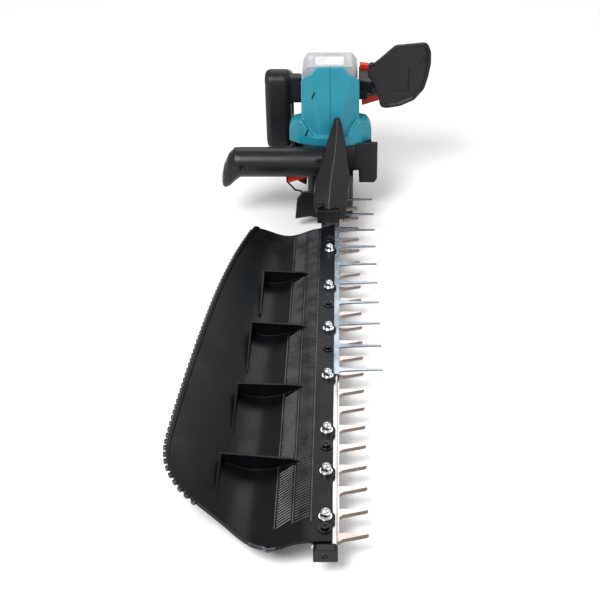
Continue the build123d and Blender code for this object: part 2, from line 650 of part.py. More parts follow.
def front_lever():
    y = FRONT_BAR[0]
    shape = [(-57.5, 64), (-53, 55.5), (-24, 64), (-24, 75), (-28, 77), (-38, 73), (-57.5, 72)]
    lever = prism(shape, "y", y - 6.2, y + 6.2, radius=1.0)
    return lever - rod((-28, y - 10, 74), (-28, y + 10, 74), 1.6 + RUN)


def coil_spring(x, y, z, radius, wire, turns):
    """A compression spring standing between two heights."""
    height = z[1] - z[0] - 2 * wire
    helix = Helix(pitch=height / turns, height=height, radius=radius)
    section = Plane(origin=helix @ 0, z_dir=helix % 0) * Circle(wire)
    return Pos(x, y, z[0] + wire) * sweep(section, path=helix)


def lever_guard():
    """Thin wire bow in front of the lever."""
    y = -52.0
    points = [(-55, y, 66.5), (-55, y, 60), (-45, y, 48.5), (-37, y, 46.5), (-36.5, -58.7, 46.5)]
    bow = rod(points[0], points[1], 1.1)
    for start, end in zip(points[1:], points[2:]):
        bow += rod(start, end, 1.1) + Pos(*start) * Sphere(1.1)
    return bow


# ---- right handle ----
def right_bar(inset):
    y, z = REAR_BAR
    return rod((REAR_BAR_X[0] + inset, y, z), (REAR_BAR_X[1] - inset, y, z), REAR_BAR_R - inset)


GUARD_PLATE = [(51.5, 168), (53, 182), (67.5, 194.5), (83, 208.5), (124, 212.5), (129, 200), (129.5, 186),
               (126.5, 167), (121.8, 151), (109.5, 136), (91, 127.5), (76, 125), (65, 125), (63, 138),
               (58.5, 151)]
GUARD_FIELD = [(56, 168), (57, 180), (69, 190.5), (84.5, 204.5), (121.5, 208.2), (125, 199), (125.3, 187),
               (122.5, 168), (118, 153), (107.5, 139.5), (90, 131.5), (76, 129), (69, 129), (66.8, 139.5),
               (62.5, 152.5)]


def right_handle_halves():
    """Grip bar, root and hand guard, moulded as two clamshells that meet on the bar's axis."""
    y, z = REAR_BAR
    form = right_bar(0.0) + prism(GUARD_PLATE, "y", 36.0, 40.0, radius=7.5)
    root = [(37.4, 44), (56, 36), (56, 40), (50, 56), (50, y), (37.4, y)]
    form += prism(root, "z", 122.0, 160.0) - block((30, 56), (0, 65.5), (90, 143.4))
    form -= block((30, 56), (65.4, 72.0), (90, 136.5))
    form += prism([(108, 38), (118, 36), (118.5, 60), (116, y), (108, y), (110, 60)], "z", 150.0, 175.0)
    form += prism(GUARD_PLATE, "y", 34.0, 36.1, radius=7.5) - prism(GUARD_FIELD, "y", 30.0, 40.0, radius=6.0)
    form += rod((53.5, 34, 181), (53.5, 40, 181), 5.0)
    form -= block((70, 102), (35, 36.8), (148, 181))
    form -= right_bar(3.0)
    form += rod((104, y - 18, z), (104, y + 18, z), 4.5) + block((38, 40.5), (y - 12, y + 12), (130, 152))
    form -= block((40.0, 92.0), (y - 6.6, y + 6.6), (115, 131))
    form -= block((37.0, 62.0), (y - 5.4, y + 5.4), (152, 170))
    for x, head_y, tip_y, screw_z in RIGHT_HANDLE_SCREWS:
        form -= screw((x, head_y, screw_z), (x, tip_y, screw_z), 1.9, 3.6, 2.0, spare=0.1)
    form -= rod((88, y - 12, 133), (88, y + 12, 133), 1.6)
    form -= rod((58, y - 12, 154), (58, y + 12, 154), 1.6)
    front = form & block((30, 140), (20, y), (100, 230))
    rear = form & block((30, 140), (y, 140), (100, 230))
    return front, rear


RIGHT_HANDLE_SCREWS = [(104.0, 74.5, 104.5, 141.0), (45.0, 66.0, 88.0, 142.0),
                       (53.5, 34.6, 39.0, 181.0), (119.0, 35.2, 39.0, 189.0)]


def right_handle_screws():
    places = RIGHT_HANDLE_SCREWS
    return group(screw((x, head_y, z), (x, tip_y, z), 1.9, 3.6, 2.0) for x, head_y, tip_y, z in places)


def trigger():
    y = REAR_BAR[0]
    shape = [(42.2, 124), (42.2, 108.5), (66, 116), (89, 121.5), (91, 132), (88, 136), (78, 131), (42.4, 131)]
    body = prism(shape, "y", y - 6.2, y + 6.2, radius=1.0)
    return body - rod((88, y - 10, 133), (88, y + 10, 133), 1.6 + RUN)


def lock_off_lever():
    y = REAR_BAR[0]
    shape = [(39.2, 160), (38.6, 166.5), (50, 165), (61, 157), (61, 152.5), (55, 152.2), (40.5, 157)]
    body = prism(shape, "y", y - 5.0, y + 5.0, radius=0.8)
    return body - rod((58, y - 10, 154), (58, y + 10, 154), 1.6 + RUN)


# ---- loop handle ----
LOOP_OUTLINE = [(42, 60), (42, 163), (58, 170), (150, 137), (150, 60)]
LOOP_HOLE = [(64, 82), (64, 145), (128, 122), (128, 82)]
LOOP_SCREWS = [(53.0, 151.0), (53.0, 71.0), (139.0, 127.0), (139.0, 71.0)]


def loop_ring(inset):
    """The closed loop; its top falls backwards."""
    outer = inset_prism(LOOP_OUTLINE, "x", LOOP_X[0] + inset, LOOP_X[1] - inset, inset)
    outer = fillet(outer.edges().filter_by(Axis.X), 14.0 - inset)
    sides = outer.faces().sort_by(Axis.X)
    outer = fillet(sides[0].edges() + sides[-1].edges(), 8.0 - inset)
    hole = inset_prism(LOOP_HOLE, "x", -100.0, -40.0, -inset)
    return outer - fillet(hole.edges().filter_by(Axis.X), 10.0 + inset / 2)


def loop_handle_halves():
    """Closed loop on the left, moulded in an inner and an outer half."""
    ring = loop_ring(0.0) - loop_ring(3.0)
    ring += block((-55.5, -37.4), (47.0, 63.0), (127.0, 163.0)) - block((-50, -36), (50, 60), (130, 160))
    for y, z in LOOP_SCREWS:
        ring += rod((-85.5, y, z), (-53.5, y, z), 4.6)
        ring -= screw((-85, y, z), (-58, y, z), 1.9, 3.6, 2.6, spare=0.1)
    middle = (LOOP_X[0] + LOOP_X[1]) / 2
    inner = ring & block((middle, -30), (0, 200), (0, 220))
    outer = ring & block((-120, middle), (0, 200), (0, 220))
    return inner, outer


def loop_handle_screws():
    return group(screw((-85, y, z), (-59, y, z)) for y, z in LOOP_SCREWS)


# ---- battery ----
def battery_case():
    """Slide-on pack with chamfered top and a groove each side for the rails."""
    left, right = BATTERY_X
    front = [(left, 78), (right, 78), (right, BATTERY_TOP_Z - 8), (right - 7, BATTERY_TOP_Z),
             (left + 7, BATTERY_TOP_Z), (left, BATTERY_TOP_Z - 8)]
    pack = prism(front, "y", BATTERY_Y[0], BATTERY_Y[1])
    pack = chamfer(pack.edges().filter_by(Axis.Z), 3.0)
    pack -= block((-9, 9), (BATTERY_Y[0] - 1, BATTERY_Y[0] + 14), (76, 162))
    pack -= block((left + 4, right - 4), (BATTERY_Y[0] + 17, BATTERY_Y[1] - 3), (81, 156))
    pack -= block((-12.4, 12.4), (BATTERY_Y[1] - 7, BATTERY_Y[1] + 2), (147.6, 162.4))
    return pack


def battery_cells():
    cells = []
    for column in range(3):
        for row in range(2):
            x, y = -21.5 + 21.5 * column, BATTERY_Y[0] + 25.8 + 17.3 * row
            cells.append(upright(x, y, (81.5, 146.5), 8.5))
    return group(cells)


def battery_latch():
    y = BATTERY_Y[1]
    return fillet(block((-12, 12), (y - 2.9, y + 3.0), (148, 162)).edges().filter_by(Axis.Y), 2.0)


def write(name, shape):
    """Saves one node."""
    shape.label = name
    export_step(shape, os.path.join("parts", name + ".step"))


os.makedirs("parts", exist_ok=True)
front_half, front_back_half = front_handle_halves()
right_half, right_back_half = right_handle_halves()
loop_inner, loop_outer = loop_handle_halves()
shell = housing_shell()
pin_y = FRONT_BAR[0]
grip_y = REAR_BAR[0]
nodes = {
    "upper_shear_blade": shear_blade(UPPER_BLADE_Z, True),
    "lower_shear_blade": shear_blade(LOWER_BLADE_Z, False),
    "upper_yoke": yoke((24.0, 28.0)),
    "lower_yoke": yoke((15.9, 19.9)),
    "upper_yoke_rivets": yoke_rivets((22.0, 28.0)),
    "lower_yoke_rivets": yoke_rivets((15.9, 21.9)),
    "guide_bar": guide_bar(),
    "comb_plate": comb_plate(),
    "flange_spacers": flange_spacers(),
    "blade_bolts": blade_bolts(),
    "blade_washers": blade_washers(),
    "acorn_nuts": acorn_nuts(),
    "tray_screws": tray_screws(),
    "tray_washers": tray_washers(),
    "tip_guard": tip_guard(),
    "tip_guard_screw": tip_guard_screw(),
    "chip_tray": chip_tray(),
    "gear_housing": gear_housing(),
    "base_cover": base_cover(),
    "base_cover_screws": base_cover_screws(),
    "crank_shaft": crank_shaft(),
    "crank_gear": gear(CRANK_TEETH, (0, CRANK_Y), (34.0, 43.0), 5.0, turn=math.pi / 2 + math.pi / CRANK_TEETH),
    "crank_bearings": crank_bearings(),
    "rotor_shaft": rotor_shaft(),
    "rotor_core": rotor_core(),
    "stator": stator(),
    "stator_windings": stator_windings(),
    "cooling_fan": cooling_fan(),
    "rotor_bearings": rotor_bearings(),
    "housing_left": housing_half(shell, "left"),
    "housing_right": housing_half(shell, "right"),
    "housing_screws": housing_screws(),
    "lower_shroud": lower_shroud(),
    "controller": controller(),
    "terminal_block": terminal_block(),
    "front_guard": front_guard(),
    "front_guard_screws": front_guard_screws(),
    "front_handle_front": front_half,
    "front_handle_rear": front_back_half,
    "front_handle_screws": front_handle_screws(),
    "front_lever": front_lever(),
    "front_lever_pin": rod((-28, pin_y - 12, 74), (-28, pin_y + 12, 74), 1.6),
    "front_lever_spring": coil_spring(-48, pin_y, (73.0, 84.8), 3.0, 0.45, 4),
    "front_switch": block((-84, -64), (pin_y - 7, pin_y + 7), (72, 92)),
    "lever_guard": lever_guard(),
    "right_handle_front": right_half,
    "right_handle_rear": right_back_half,
    "right_handle_screws": right_handle_screws(),
    "trigger": trigger(),
    "trigger_pin": rod((88, grip_y - 12, 133), (88, grip_y + 12, 133), 1.6),
    "trigger_spring": coil_spring(73, grip_y, (131.1, 137.9), 2.5, 0.4, 3),
    "trigger_switch": block((66, 86), (grip_y - 7, grip_y + 7), (138, 152)),
    "lock_off_lever": lock_off_lever(),
    "lock_off_pin": rod((58, grip_y - 12, 154), (58, grip_y + 12, 154), 1.6),
    "loop_handle_inner": loop_inner,
    "loop_handle_outer": loop_outer,
    "loop_handle_screws": loop_handle_screws(),
    "battery_case": battery_case(),
    "battery_cells": battery_cells(),
    "battery_latch": battery_latch(),
}
for name, shape in nodes.items():
    write(name, shape)
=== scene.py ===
import math

import bmesh
import bpy
import numpy as np
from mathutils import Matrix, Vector
from mathutils.bvhtree import BVHTree
from mathutils.geometry import convex_hull_2d


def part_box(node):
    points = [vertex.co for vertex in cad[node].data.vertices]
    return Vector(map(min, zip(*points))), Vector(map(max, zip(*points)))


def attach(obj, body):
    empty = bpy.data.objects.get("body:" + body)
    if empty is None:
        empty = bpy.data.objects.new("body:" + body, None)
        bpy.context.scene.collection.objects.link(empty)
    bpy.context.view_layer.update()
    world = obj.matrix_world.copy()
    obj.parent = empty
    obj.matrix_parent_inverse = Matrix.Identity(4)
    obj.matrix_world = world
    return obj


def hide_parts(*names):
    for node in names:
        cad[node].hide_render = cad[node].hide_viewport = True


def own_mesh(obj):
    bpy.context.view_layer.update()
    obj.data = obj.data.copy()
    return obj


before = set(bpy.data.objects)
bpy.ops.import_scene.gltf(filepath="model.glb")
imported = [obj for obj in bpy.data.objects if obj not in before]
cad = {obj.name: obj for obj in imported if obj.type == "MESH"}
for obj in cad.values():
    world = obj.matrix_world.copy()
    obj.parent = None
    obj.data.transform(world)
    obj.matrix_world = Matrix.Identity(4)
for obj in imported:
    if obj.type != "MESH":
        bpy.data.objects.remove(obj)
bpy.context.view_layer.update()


# ---- studio ----
# A pale sweep under soft boxes, and a long lens that looks down over the blade tip.
# Nothing here is part of the trimmer.
CAMERA_TILT = math.radians(32.0)
CAMERA_PLACE = (0.0115, -1.2647, 0.6396)
FOCAL_LENGTH_MM = 62.8
FRAMING_SHIFT = -0.0655


def soft_box(name, place, aim, size, watts):
    """A square area light that looks at a point."""
    data = bpy.data.lights.new(name, "AREA")
    data.size = size
    data.energy = watts
    light = bpy.data.objects.new(name, data)
    bpy.context.scene.collection.objects.link(light)
    light.location = place
    light.rotation_euler = (Vector(aim) - Vector(place)).to_track_quat("-Z", "Y").to_euler()


camera_data = bpy.data.cameras.new("camera")
camera_data.lens = FOCAL_LENGTH_MM
camera_data.shift_x = FRAMING_SHIFT
camera_data.clip_end = 30.0
camera = bpy.data.objects.new("camera", camera_data)
camera.location = CAMERA_PLACE
camera.rotation_euler = (math.pi / 2 - CAMERA_TILT, 0.0, 0.0)
bpy.context.scene.collection.objects.link(camera)
bpy.context.scene.camera = camera

soft_box("key_light", (-0.75, -1.5, 1.7), (0.0, -0.2, 0.05), 1.0, 46.0)
soft_box("fill_light", (1.6, -0.5, 1.2), (0.0, -0.2, 0.05), 1.2, 5.0)
soft_box("rear_light", (0.1, 1.5, 1.8), (0.0, -0.1, 0.1), 1.2, 10.0)

world = bpy.data.worlds.new("studio_air")
world.use_nodes = True
world.node_tree.nodes["Background"].inputs["Color"].default_value = (1.0, 1.0, 1.0, 1.0)
world.node_tree.nodes["Background"].inputs["Strength"].default_value = 0.56
bpy.context.scene.world = world
bpy.context.scene.view_settings.view_transform = "Standard"

floor_mesh = bpy.data.meshes.new("floor")
FLOOR_REACH = 9.0
FLOOR_TOP = -0.0006
floor_corners = [(FLOOR_REACH * x, FLOOR_REACH * y, FLOOR_TOP) for x,
                 y in ((-1, -1), (1, -1), (1, 1), (-1, 1))]
floor_mesh.from_pydata(floor_corners, [], [(0, 1, 2, 3)])
floor = bpy.data.objects.new("floor", floor_mesh)
bpy.context.scene.collection.objects.link(floor)
floor_paint = bpy.data.materials.new("floor_paint")
floor_paint.use_nodes = True
floor_shader = floor_paint.node_tree.nodes["Principled BSDF"]
floor_shader.inputs["Base Color"].default_value = (0.97, 0.97, 0.97, 1.0)
floor_shader.inputs["Roughness"].default_value = 0.9
floor_mesh.materials.append(floor_paint)


# ---- shear blades ----
# Two hardened steel strips whose teeth are ground to a bevel, stroked against each other by the crank.
# Flats keep the fine lines of the surface grinder; bevels and side faces carry a painted shade, a darker
# colour for their dark reflection.
def paint(red, green, blue):
    """A colour from 0-255 screen values."""
    channels = [value / 255 for value in (red, green, blue)]
    return tuple(c / 12.92 if c < 0.04045 else ((c + 0.055) / 1.055) ** 2.4 for c in channels) + (1.0,)


def add(tree, kind, inputs=None, **settings):
    """Adds a node, sets it up and feeds its inputs from values or from other nodes' outputs."""
    node = tree.nodes.new(kind)
    for label, value in settings.items():
        setattr(node, label, value)
    for label, value in (inputs or {}).items():
        if isinstance(value, bpy.types.NodeSocket):
            tree.links.new(value, node.inputs[label])
        else:
            node.inputs[label].default_value = value
    return node


def effect(name, takes, gives):
    """An empty shader group with named sockets, and its inner ends."""
    tree = bpy.data.node_groups.new(name, "ShaderNodeTree")
    for label, kind, value in takes:
        tree.interface.new_socket(label, in_out="INPUT", socket_type=kind).default_value = value
    for label, kind in gives:
        tree.interface.new_socket(label, in_out="OUTPUT", socket_type=kind)
    return tree, add(tree, "NodeGroupInput").outputs, add(tree, "NodeGroupOutput").inputs


def ramp(tree, value, low, high, to_low=0.0, to_high=1.0):
    """Stretches a range of values to another one, smoothly."""
    sizes = {"Value": value, "From Min": low, "From Max": high, "To Min": to_low, "To Max": to_high}
    return add(tree, "ShaderNodeMapRange", sizes, interpolation_type="SMOOTHSTEP").outputs[0]


def sums(tree, operation, first, second=0.0):
    return add(tree, "ShaderNodeMath", {0: first, 1: second}, operation=operation).outputs[0]


def blend_colours(tree, share, first, second):
    mix = add(tree, "ShaderNodeMix", data_type="RGBA")
    for place, value in ((0, share), (6, first), (7, second)):
        if isinstance(value, bpy.types.NodeSocket):
            tree.links.new(value, mix.inputs[place])
        else:
            mix.inputs[place].default_value = value
    return mix.outputs[2]


def use(tree, group, inputs):
    return add(tree, "ShaderNodeGroup", inputs, node_tree=group).outputs


number, vector = "NodeSocketFloat", "NodeSocketVector"

# A machined corner: a slightly rounded normal, and a patchy mask of where it has been handled bright.
broken_edge, ends_in, ends_out = effect(
    "broken_edge", [("Reach", number, 0.0005), ("Patch Scale", number, 90.0)], [("Mask", number),
                                                                                ("Normal", vector)])
rounded = add(broken_edge, "ShaderNodeBevel", {"Radius": ends_in["Reach"]}, samples=4).outputs["Normal"]
true_normal = add(broken_edge, "ShaderNodeNewGeometry").outputs["Normal"]
agree = add(broken_edge, "ShaderNodeVectorMath", {0: rounded, 1: true_normal},
            operation="DOT_PRODUCT").outputs["Value"]
edge = ramp(broken_edge, agree, 0.99, 0.86)
place = add(broken_edge, "ShaderNodeTexCoord").outputs["Object"]
patch = add(broken_edge, "ShaderNodeTexNoise", {"Vector": place, "Scale": ends_in["Patch Scale"],
                                                "Detail": 3.0}).outputs[0]
worn = sums(broken_edge, "MULTIPLY", edge, ramp(broken_edge, patch, 0.32, 0.62, 0.35, 1.0))
broken_edge.links.new(worn, ends_out["Mask"])
broken_edge.links.new(rounded, ends_out["Normal"])

# Lines left by a grinder or a rolling mill, drawn out along the axis with the smallest stretch.
drawn_lines, ends_in, ends_out = effect(
    "drawn_lines", [("Stretch", vector, (1.0, 1.0, 1.0)), ("Scale", number, 900.0)], [("Lines", number),
                                                                                      ("Stain", number)])
place = add(drawn_lines, "ShaderNodeTexCoord").outputs["Object"]
pulled = add(drawn_lines, "ShaderNodeMapping", {"Vector": place, "Scale": ends_in["Stretch"]}).outputs[0]
lines = add(drawn_lines, "ShaderNodeTexNoise", {"Vector": pulled, "Scale": ends_in["Scale"],
                                                "Detail": 4.0}).outputs[0]
stain = add(drawn_lines, "ShaderNodeTexNoise", {"Vector": place, "Scale": 22.0, "Detail": 5.0}).outputs[0]
drawn_lines.links.new(lines, ends_out["Lines"])
drawn_lines.links.new(stain, ends_out["Stain"])


def worked_metal(name, light, dark, roughness, stretch, scale, side_shade=None, reach=0.0004, bright=None):
    """Bare metal with drawn lines, faint stains, handled edges and, on blades and comb plate, painted shade
    on side faces.
    """
    metal = bpy.data.materials.new(name)
    metal.use_nodes = True
    tree = metal.node_tree
    shader = tree.nodes["Principled BSDF"]
    shader.inputs["Metallic"].default_value = 1.0
    drawn = use(tree, drawn_lines, {"Stretch": stretch, "Scale": scale})
    corner = use(tree, broken_edge, {"Reach": reach, "Patch Scale": 120.0})
    tone = blend_colours(tree, ramp(tree, drawn["Stain"], 0.3, 0.7), dark, light)
    tone = blend_colours(tree, ramp(tree, drawn["Lines"], 0.62, 0.36, 0.0, 0.45), tone, dark)
    if side_shade:
        # Faces not pointing straight up are blended to the side colour: painted shade for the dark reflection
        # on the side walls.
        facing = add(tree, "ShaderNodeTexCoord").outputs["Normal"]
        upright = sums(tree, "ABSOLUTE", add(tree, "ShaderNodeSeparateXYZ", {0: facing}).outputs["Z"])
        tone = blend_colours(tree, ramp(tree, upright, 0.985, 0.93), tone, side_shade)
    tone = blend_colours(tree, corner["Mask"], tone, bright or light)
    tree.links.new(tone, shader.inputs["Base Color"])
    tree.links.new(ramp(tree, drawn["Lines"], 0.3, 0.7, roughness - 0.07, roughness + 0.09),
                   shader.inputs["Roughness"])
    relief = add(tree, "ShaderNodeBump", {"Height": drawn["Lines"], "Normal": corner["Normal"],
                                          "Strength": 0.25, "Distance": 0.00012})
    tree.links.new(relief.outputs[0], shader.inputs["Normal"])
    return metal


def finish_nodes(names, material):
    """Gives CAD pieces their finish."""
    for name in names:
        cad[name].data.materials.clear()
        cad[name].data.materials.append(material)


# The third colour is the painted shade on the teeth's side faces.
ground_steel = worked_metal("ground_steel", paint(236, 228, 224), paint(196, 184, 178), 0.34,
                            (0.04, 1.0, 1.0), 1500.0,
                            side_shade=paint(146, 130, 122), bright=paint(250, 246, 243))
finish_nodes(["upper_shear_blade", "lower_shear_blade"], ground_steel)


# ---- guide bar ----
# A bright rolled steel bar that the blades slide along, slotted over the bolts and closed by the comb plate.
# Plain washers level the tray where the comb plate stops.
rolled_steel = worked_metal("rolled_steel", paint(226, 228, 230), paint(178, 180, 184), 0.3,
                            (1.0, 0.03, 1.0), 1200.0)
finish_nodes(["guide_bar"], rolled_steel)


# ---- comb plate ----
# A thin pressed plate with long pointed fingers that keep twigs in the teeth.
# It is zinc plated and passivated, so it looks bluish, with cloudy patches.
# Its side faces get a painted shade, darker than its flat faces.
zinc_plate = worked_metal("zinc_plate", paint(206, 214, 222), paint(130, 140, 152), 0.36, (1.0, 1.0, 1.0),
                          260.0,
                          side_shade=paint(112, 116, 122), bright=paint(232, 238, 244))
finish_nodes(["comb_plate", "flange_spacers", "blade_washers"], zinc_plate)


# ---- blade bolts, acorn nuts and tray screws ----
# Seven chromed acorn nuts clamp bar, blades and tray; black oxide screws with washers hold the tray as well.
# Each nut is turned with a flange, a hexagon and a dome.
chrome = worked_metal("chrome", paint(246, 246, 248), paint(214, 215, 220), 0.12, (1.0, 1.0, 1.0), 500.0,
                      reach=0.0003)
finish_nodes(["acorn_nuts"], chrome)
black_oxide = worked_metal("black_oxide", paint(66, 64, 66), paint(34, 33, 35), 0.36, (1.0, 1.0, 1.0),
                           700.0,
                           bright=paint(150, 146, 144))
finish_nodes(["blade_bolts", "tray_screws", "tray_washers", "tip_guard_screw", "base_cover_screws",
              "housing_screws",
              "front_guard_screws", "front_handle_screws", "right_handle_screws", "loop_handle_screws",
              "lever_guard"], black_oxide)


# ---- tip guard ----
# A moulded nylon block that caps the end of the bar, held by one screw from the front.
# Its corners are rounded by the mould.
moulded_grain, ends_in, ends_out = effect(
    "moulded_grain", [("Grain Scale", number, 2600.0), ("Mottle Scale", number, 28.0)], [("Grain", number),
                                                                                         ("Mottle",
                                                                                          number)])
place = add(moulded_grain, "ShaderNodeTexCoord").outputs["Object"]
fine = add(moulded_grain, "ShaderNodeTexVoronoi", {"Vector": place, "Scale": ends_in["Grain Scale"]},
           feature="SMOOTH_F1")
soft = add(moulded_grain, "ShaderNodeTexNoise",
           {"Vector": place, "Scale": ends_in["Mottle Scale"], "Detail": 6.0})
moulded_grain.links.new(fine.outputs["Distance"], ends_out["Grain"])
moulded_grain.links.new(soft.outputs[0], ends_out["Mottle"])

# Rubbed bright on the outward corners of a smooth moulding, and darker in its hollows.
rubbed_edge, ends_in, ends_out = effect(
    "rubbed_edge", [("Patch Scale", number, 60.0)], [("Rub", number), ("Hollow Darkening", number)])
crown = add(rubbed_edge, "ShaderNodeNewGeometry").outputs["Pointiness"]
place = add(rubbed_edge, "ShaderNodeTexCoord").outputs["Object"]
patch = add(rubbed_edge, "ShaderNodeTexNoise", {"Vector": place, "Scale": ends_in["Patch Scale"],
                                                "Detail": 4.0}).outputs[0]
patchy = ramp(rubbed_edge, patch, 0.34, 0.64, 0.25, 1.0)
rubbed_edge.links.new(sums(rubbed_edge, "MULTIPLY", ramp(rubbed_edge, crown, 0.515, 0.57), patchy),
                      ends_out["Rub"])
rubbed_edge.links.new(sums(rubbed_edge, "MULTIPLY", ramp(rubbed_edge, crown, 0.487, 0.45), patchy),
                      ends_out["Hollow Darkening"])

# The joint between two mouldings, where a plane at a given distance crosses the piece.
part_line, ends_in, ends_out = effect(
    "part_line", [("Direction", vector, (1.0, 0.0, 0.0)), ("Distance", number, 0.0),
                  ("Width", number, 0.0004)],
    [("Line", number)])
place = add(part_line, "ShaderNodeTexCoord").outputs["Object"]
along = add(part_line, "ShaderNodeVectorMath", {0: place, 1: ends_in["Direction"]},
            operation="DOT_PRODUCT").outputs["Value"]
off = sums(part_line, "ABSOLUTE", sums(part_line, "SUBTRACT", along, ends_in["Distance"]))
part_line.links.new(ramp(part_line, sums(part_line, "DIVIDE", off, ends_in["Width"]), 1.3, 0.7),
                    ends_out["Line"])


def moulded_plastic(name, colour, rubbed, roughness, grain=0.4, seam=None, gloss=0.5, sharp=False):
    """Injection moulded plastic: fine grain, faint mottling, rubbed corners and a part line if it has one."""
    plastic = bpy.data.materials.new(name)
    plastic.use_nodes = True
    tree = plastic.node_tree
    shader = tree.nodes["Principled BSDF"]
    shader.inputs["Specular IOR Level"].default_value = gloss
    texture = use(tree, moulded_grain, {"Grain Scale": 2600.0, "Mottle Scale": 30.0})
    deep = tuple(0.86 * c for c in colour[:3]) + (1.0,)
    tone = blend_colours(tree, ramp(tree, texture["Mottle"], 0.35, 0.65), deep, colour)
    if sharp:
        corner = use(tree, broken_edge, {"Reach": 0.0009, "Patch Scale": 70.0})
        tone = blend_colours(tree, sums(tree, "MULTIPLY", corner["Mask"], 0.5), tone, rubbed)
        base_normal = {"Normal": corner["Normal"]}
    else:
        corner = use(tree, rubbed_edge, {"Patch Scale": 60.0})
        tone = blend_colours(tree, sums(tree, "MULTIPLY", corner["Rub"], 0.45), tone, rubbed)
        # Hollows are blended towards the deeper tone of the same colour.
        tone = blend_colours(tree, sums(tree, "MULTIPLY", corner["Hollow Darkening"], 0.4), tone, deep)
        base_normal = {}
    height = sums(tree, "MULTIPLY", texture["Grain"], grain)
    if seam:
        joint = use(tree, part_line, {"Direction": seam[0], "Distance": seam[1], "Width": seam[2]})["Line"]
        tone = blend_colours(tree, sums(tree, "MULTIPLY", joint, 0.8), tone,
                             tuple(0.12 * c for c in colour[:3]) + (1.0,))
        height = sums(tree, "SUBTRACT", height, joint)
    tree.links.new(tone, shader.inputs["Base Color"])
    tree.links.new(ramp(tree, texture["Mottle"], 0.3, 0.7, roughness - 0.04, roughness + 0.07),
                   shader.inputs["Roughness"])
    relief = add(tree, "ShaderNodeBump", {"Height": height, "Strength": 0.35, "Distance": 0.0002,
                                          **base_normal})
    tree.links.new(relief.outputs[0], shader.inputs["Normal"])
    return plastic


SEAM_STEP = 0.00025


def moulding(name, sources, body, material, cell, relax, seam=None):
    """One smooth moulding in place of CAD solids: joined, remeshed finely and relaxed at the corners."""
    soup = bmesh.new()
    for source in sources:
        low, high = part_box(source)
        start = len(soup.verts)
        soup.from_mesh(cad[source].data)
        soup.verts.ensure_lookup_table()
        if seam:
            axis, level = seam
            inward = SEAM_STEP if (low[axis] + high[axis]) / 2 < level else -SEAM_STEP
            for vertex in soup.verts[start:]:
                if abs(vertex.co[axis] - level) < 0.00005:
                    vertex.co[axis] += inward
    bmesh.ops.remove_doubles(soup, verts=soup.verts, dist=0.00001)
    mesh = bpy.data.meshes.new(name)
    soup.to_mesh(mesh)
    soup.free()
    piece = bpy.data.objects.new(name, mesh)
    bpy.context.scene.collection.objects.link(piece)
    remesh = piece.modifiers.new("remesh", "REMESH")
    remesh.mode = "VOXEL"
    remesh.voxel_size = cell
    smooth = piece.modifiers.new("relax", "SMOOTH")
    smooth.factor = 0.5
    smooth.iterations = relax
    depsgraph = bpy.context.evaluated_depsgraph_get()
    finished = bpy.data.meshes.new_from_object(piece.evaluated_get(depsgraph))
    piece.modifiers.clear()
    piece.data = finished
    finished.shade_smooth()
    finished.materials.clear()
    finished.materials.append(material)
    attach(piece, body)
    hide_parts(*sources)
    return piece


black_plastic = moulded_plastic("black_plastic", paint(20, 19, 22), paint(78, 75, 80), 0.34, gloss=0.3)
black_sharp = moulded_plastic("black_plastic_trim", paint(20, 19, 22), paint(78, 75, 80), 0.36, gloss=0.3,
                              sharp=True)
moulding("tip_cap", ["tip_guard"], "root", black_plastic, 0.0006, 7)


# ---- chip tray ----
# A gloss black tray beside the bar: dished panel, four cross walls with fins, and a flange under the nuts.
# Its outer rim carries moulded pips, which give way to two plain beads near the tip, and two hatched strips
# run beside the flange between laid ridges.
tray_gloss = moulded_plastic("tray_gloss", paint(10, 9, 12), paint(58, 54, 58), 0.3, grain=0.08, gloss=0.14,
                             sharp=True)
# The beads' plastic is the tray's black made lighter: a painted highlight along pips, beads, hatching and
# ridges.
lit_bead_gloss = moulded_plastic("lit_bead_gloss", paint(22, 20, 24), paint(96, 92, 96), 0.2, grain=0.04,
                             gloss=0.55)
finish_nodes(["chip_tray"], tray_gloss)

tray_points = np.array([v.co for v in cad["chip_tray"].data.vertices])
tray_surface = BVHTree.FromPolygons([tuple(p) for p in tray_points],
                                    [tuple(f.vertices) for f in cad["chip_tray"].data.polygons])


def tray_height(x, y):
    """The tray's top face at a spot, or None off the tray."""
    hit = tray_surface.ray_cast(Vector((x, y, 0.2)), Vector((0.0, 0.0, -1.0)))[0]
    return hit.z if hit else None


def recipe(name, takes):
    """An empty geometry tree with named sizes; returns its ends and the key of each size."""
    tree = bpy.data.node_groups.new(name, "GeometryNodeTree")
    tree.interface.new_socket("Geometry", in_out="INPUT", socket_type="NodeSocketGeometry")
    keys = {}
    for label, kind, value in takes:
        socket = tree.interface.new_socket(label, in_out="INPUT", socket_type=kind)
        socket.default_value = value
        keys[label] = socket.identifier
    keys["Finish"] = tree.interface.new_socket("Finish", in_out="INPUT",
                                               socket_type="NodeSocketMaterial").identifier
    tree.interface.new_socket("Geometry", in_out="OUTPUT", socket_type="NodeSocketGeometry")
    return tree, keys, add(tree, "NodeGroupInput").outputs, add(tree, "NodeGroupOutput").inputs


def close_recipe(tree, shape, ends_in, ends_out):
    """Every recipe ends the same way: real mesh, smooth shading and the finish."""
    real = add(tree, "GeometryNodeRealizeInstances", {"Geometry": shape}).outputs[0]
    even = add(tree, "GeometryNodeSetShadeSmooth", {0: real}).outputs[0]
    done = add(tree, "GeometryNodeSetMaterial",
               {"Geometry": even, "Material": ends_in["Finish"]}).outputs[0]
    tree.links.new(done, ends_out["Geometry"])


